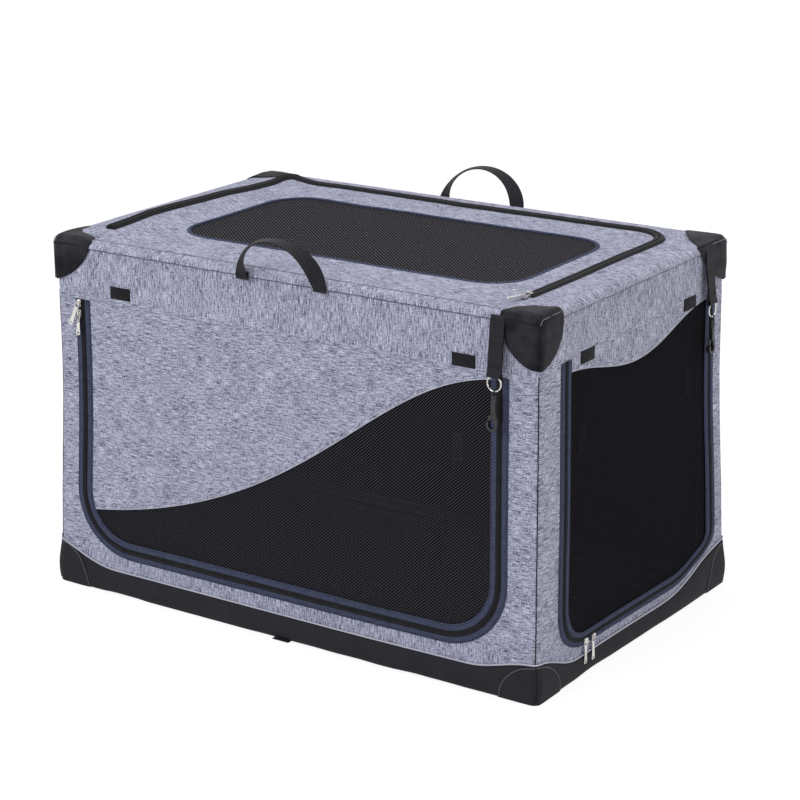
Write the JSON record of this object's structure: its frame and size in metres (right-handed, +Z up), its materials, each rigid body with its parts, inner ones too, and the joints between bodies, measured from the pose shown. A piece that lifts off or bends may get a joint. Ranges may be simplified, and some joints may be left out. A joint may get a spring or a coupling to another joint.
{
  "type": "folding_pet_kennel",
  "caption": "Box-shaped fabric pet kennel on a knee-jointed steel frame that folds flat, with zipped mesh doors at the front, end and top, webbing handles and hanging snap hooks",
  "frame": {"origin": "centre of the flat underside, on the floor", "axes": "+X towards the end with the smaller door, +Y towards the plain back wall, +Z up"},
  "size_m": [0.9283, 0.6401, 0.6546],
  "materials": {
    "grey_fabric": "heathered grey plain-weave polyester, matte",
    "black_fabric": "black coated fabric, semi-matte",
    "cap_leather": "black leather-like fabric, fine grain, semi-matte",
    "black_mesh": "fine black knitted mesh, see-through",
    "blue_binding": "dark slate-blue woven binding, matte",
    "black_webbing": "black ribbed webbing",
    "steel_tube": "dark powder-coated steel tube",
    "bright_metal": "polished nickel plating",
    "black_plastic": "black moulded plastic",
    "mat_fleece": "grey fleece over a padded mat"
  },
  "bodies": {
    "base": {"base_tray": "black_fabric", "base_ring": "steel_tube", "base_clip_left": "black_plastic", "base_clip_right": "black_plastic", "front_wall": "grey_fabric", "end_wall": "grey_fabric", "back_wall": "grey_fabric", "left_wall": "grey_fabric", "front_zip_outer": "blue_binding", "end_zip_outer": "blue_binding"},
    "mat": {"floor_mat": "mat_fleece"},
    "right_lower": {"right_lower_frame": "steel_tube", "right_knee_rivet_front": "bright_metal", "right_knee_rivet_back": "bright_metal"},
    "right_upper": {"right_upper_frame": "steel_tube"},
    "left_lower": {"left_lower_frame": "steel_tube", "left_knee_rivet_front": "bright_metal", "left_knee_rivet_back": "bright_metal"},
    "left_upper": {"left_upper_frame": "steel_tube"},
    "top": {"top_ring": "steel_tube", "lid": "grey_fabric", "top_cap_front_left": "cap_leather", "top_cap_front_right": "cap_leather", "top_cap_back_left": "cap_leather", "top_cap_back_right": "cap_leather", "top_clip_left": "black_plastic", "top_clip_right": "black_plastic"},
    "front_door": {"front_door_panel": "grey_fabric", "front_door_mesh": "black_mesh", "front_zip_inner": "blue_binding"},
    "end_door": {"end_door_panel": "grey_fabric", "end_door_mesh": "black_mesh", "end_zip_inner": "blue_binding"},
    "top_door": {"top_door_panel": "grey_fabric", "top_door_mesh": "black_mesh", "top_zip": "black_fabric"},
    "front_handle": {"front_handle": "black_webbing"},
    "back_handle": {"back_handle": "black_webbing"},
    "front_strap": {"front_strap": "black_webbing"},
    "front_ring": {"front_ring": "bright_metal"},
    "front_eye": {"front_swivel_eye": "black_plastic"},
    "front_hook": {"front_snap_hook": "black_plastic"},
    "front_gate": {"front_hook_gate": "black_plastic"},
    "end_strap": {"end_strap": "black_webbing"},
    "end_ring": {"end_ring": "bright_metal"},
    "end_eye": {"end_swivel_eye": "black_plastic"},
    "end_hook": {"end_snap_hook": "black_plastic"},
    "end_gate": {"end_hook_gate": "black_plastic"},
    "front_slider_upper": {"front_slider_upper": "bright_metal"},
    "front_slider_lower": {"front_slider_lower": "bright_metal"},
    "end_slider_corner": {"end_slider_corner": "bright_metal"},
    "end_slider_run": {"end_slider_run": "bright_metal"},
    "top_slider_run": {"top_slider_run": "bright_metal"},
    "top_slider_stop": {"top_slider_stop": "bright_metal"},
    "front_tab_upper": {"front_tab_upper": "bright_metal"},
    "front_tab_lower": {"front_tab_lower": "bright_metal"},
    "end_tab_corner": {"end_tab_corner": "bright_metal"},
    "end_tab_run": {"end_tab_run": "bright_metal"},
    "top_tab_run": {"top_tab_run": "bright_metal"},
    "top_tab_stop": {"top_tab_stop": "bright_metal"}
  },
  "joints": [
    {"name": "fold", "type": "hinge", "parent": "base", "child": "right_lower", "pos_m": [0.437, 0, 0.0325], "axis": [0, 1, 0], "range_deg": [-84, 0], "deforming": ["front_wall", "end_wall", "back_wall", "left_wall", "front_zip_outer", "end_zip_outer", "front_door_panel", "front_door_mesh", "front_zip_inner", "end_door_panel", "end_door_mesh", "end_zip_inner"]},
    {"name": "right_knee", "type": "hinge", "parent": "right_lower", "child": "right_upper", "pos_m": [0.437, 0, 0.2945], "axis": [0, 1, 0], "range_deg": [0, 168]},
    {"name": "top_level", "type": "hinge", "parent": "right_upper", "child": "top", "pos_m": [0.437, 0, 0.5565], "axis": [0, 1, 0], "range_deg": [-84, 0]},
    {"name": "left_fold", "type": "hinge", "parent": "base", "child": "left_lower", "pos_m": [-0.437, 0, 0.0325], "axis": [0, 1, 0], "range_deg": [0, 84]},
    {"name": "left_knee", "type": "hinge", "parent": "left_lower", "child": "left_upper", "pos_m": [-0.437, 0, 0.2945], "axis": [0, 1, 0], "range_deg": [-168, 0]},
    {"name": "mat_lift", "type": "slide", "parent": "base", "child": "mat", "axis": [0, 0, 1], "range_m": [0, 0.25]},
    {"name": "front_door", "type": "hinge", "parent": "top", "child": "front_door", "pos_m": [0, -0.287, 0.4925], "axis": [-1, 0, 0], "range_deg": [0, 92]},
    {"name": "end_door", "type": "hinge", "parent": "top", "child": "end_door", "pos_m": [0.452, 0, 0.5075], "axis": [0, -1, 0], "range_deg": [0, 92]},
    {"name": "top_door", "type": "hinge", "parent": "top", "child": "top_door", "pos_m": [0, -0.277, 0.59], "axis": [1, 0, 0], "range_deg": [0, 100]},
    {"name": "front_handle", "type": "hinge", "parent": "top", "child": "front_handle", "pos_m": [0.002, -0.2935, 0.578], "axis": [1, 0, 0], "range_deg": [-15, 145]},
    {"name": "back_handle", "type": "hinge", "parent": "top", "child": "back_handle", "pos_m": [-0.0125, 0.2935, 0.578], "axis": [-1, 0, 0], "range_deg": [-15, 145]},
    {"name": "front_strap", "type": "hinge", "parent": "top", "child": "front_strap", "pos_m": [0.386, -0.2935, 0.577], "axis": [-1, 0, 0], "range_deg": [0, 69]},
    {"name": "front_ring", "type": "hinge", "parent": "front_strap", "child": "front_ring", "pos_m": [0.386, -0.30191, 0.49694], "axis": [1, 0, 0], "range_deg": [-80, 2]},
    {"name": "front_eye", "type": "hinge", "parent": "front_ring", "child": "front_eye", "pos_m": [0.386, -0.30191, 0.47394], "axis": [1, 0, 0], "range_deg": [-85, 2]},
    {"name": "front_hook", "type": "hinge", "parent": "front_eye", "child": "front_hook", "pos_m": [0.386, -0.30191, 0.46394], "axis": [0, 0, 1], "continuous": true},
    {"name": "front_gate", "type": "hinge", "parent": "front_hook", "child": "front_gate", "pos_m": [0.3854, -0.30191, 0.44094], "axis": [0, -1, 0], "range_deg": [0, 25], "stiffness_Nm_per_rad": 0.02, "springref_deg": -9.74},
    {"name": "end_strap", "type": "hinge", "parent": "top", "child": "end_strap", "pos_m": [0.4585, 0.22, 0.577], "axis": [0, -1, 0], "range_deg": [0, 69]},
    {"name": "end_ring", "type": "hinge", "parent": "end_strap", "child": "end_ring", "pos_m": [0.46692, 0.22, 0.49694], "axis": [0, 1, 0], "range_deg": [-80, 2]},
    {"name": "end_eye", "type": "hinge", "parent": "end_ring", "child": "end_eye", "pos_m": [0.46692, 0.22, 0.47394], "axis": [0, 1, 0], "range_deg": [-85, 2]},
    {"name": "end_hook", "type": "hinge", "parent": "end_eye", "child": "end_hook", "pos_m": [0.46692, 0.22, 0.46394], "axis": [0, 0, 1], "continuous": true},
    {"name": "end_gate", "type": "hinge", "parent": "end_hook", "child": "end_gate", "pos_m": [0.46692, 0.2194, 0.44094], "axis": [1, 0, 0], "range_deg": [0, 25], "stiffness_Nm_per_rad": 0.02, "springref_deg": -9.74},
    {"name": "front_gather", "type": "slide", "parent": "top", "child": "front_slider_upper", "axis": [-0.1961, 0, -0.9806], "range_m": [-0.08362, 0]},
    {"name": "front_unzip", "type": "slide", "parent": "front_slider_upper", "child": "front_slider_lower", "axis": [0, 0, -1], "range_m": [0, 0.3]},
    {"name": "end_unzip", "type": "slide", "parent": "base", "child": "end_slider_run", "axis": [0, 1, 0], "range_m": [0, 0.3]},
    {"name": "end_unzip_corner", "type": "hinge", "parent": "base", "child": "end_slider_corner", "pos_m": [0.4542, -0.1395, 0.1285], "axis": [-1, 0, 0], "range_deg": [0, 82]},
    {"name": "top_unzip_stop", "type": "slide", "parent": "top_door", "child": "top_slider_stop", "axis": [0, 1, 0], "range_m": [0, 0.2]},
    {"name": "top_unzip_run", "type": "slide", "parent": "top_slider_stop", "child": "top_slider_run", "axis": [0, 1, 0], "range_m": [0, 0.18]},
    {"name": "front_tab_upper", "type": "hinge", "parent": "front_slider_upper", "child": "front_tab_upper", "pos_m": [-0.4038, -0.2935, 0.4861], "axis": [-0.9703, 0.0707, 0.2314], "range_deg": [0, 150]},
    {"name": "front_tab_lower", "type": "hinge", "parent": "front_slider_lower", "child": "front_tab_lower", "pos_m": [-0.4038, -0.2935, 0.4701], "axis": [-1, 0, 0], "range_deg": [0, 18]},
    {"name": "top_tab_run", "type": "hinge", "parent": "top_slider_run", "child": "top_tab_run", "pos_m": [0.38275, -0.1964, 0.5957], "axis": [-0.9613, 0.2636, -0.0806], "range_deg": [0, 150]},
    {"name": "top_tab_stop", "type": "hinge", "parent": "top_slider_stop", "child": "top_tab_stop", "pos_m": [0.38275, -0.2124, 0.5957], "axis": [-0.9781, 0.2074, -0.0145], "range_deg": [0, 18]},
    {"name": "end_tab_corner", "type": "hinge", "parent": "end_slider_corner", "child": "end_tab_corner", "pos_m": [0.4585, -0.15415, 0.053], "axis": [-1, 0, 0], "range_deg": [0, 45]},
    {"name": "end_tab_run", "type": "hinge", "parent": "end_slider_run", "child": "end_tab_run", "pos_m": [0.4585, -0.131, 0.0517], "axis": [1, 0, 0], "range_deg": [0, 45]}
  ],
  "couplings": [
    {"joint": "right_knee", "follows": "fold", "ratio": -2},
    {"joint": "top_level", "follows": "fold", "ratio": 1},
    {"joint": "left_fold", "follows": "fold", "ratio": -1},
    {"joint": "left_knee", "follows": "fold", "ratio": 2},
    {"joint": "front_strap", "follows": "front_door", "ratio": 0.75},
    {"joint": "end_strap", "follows": "end_door", "ratio": 0.75},
    {"joint": "front_gather", "follows": "fold", "m_per_rad": 0.057039}
  ]
}
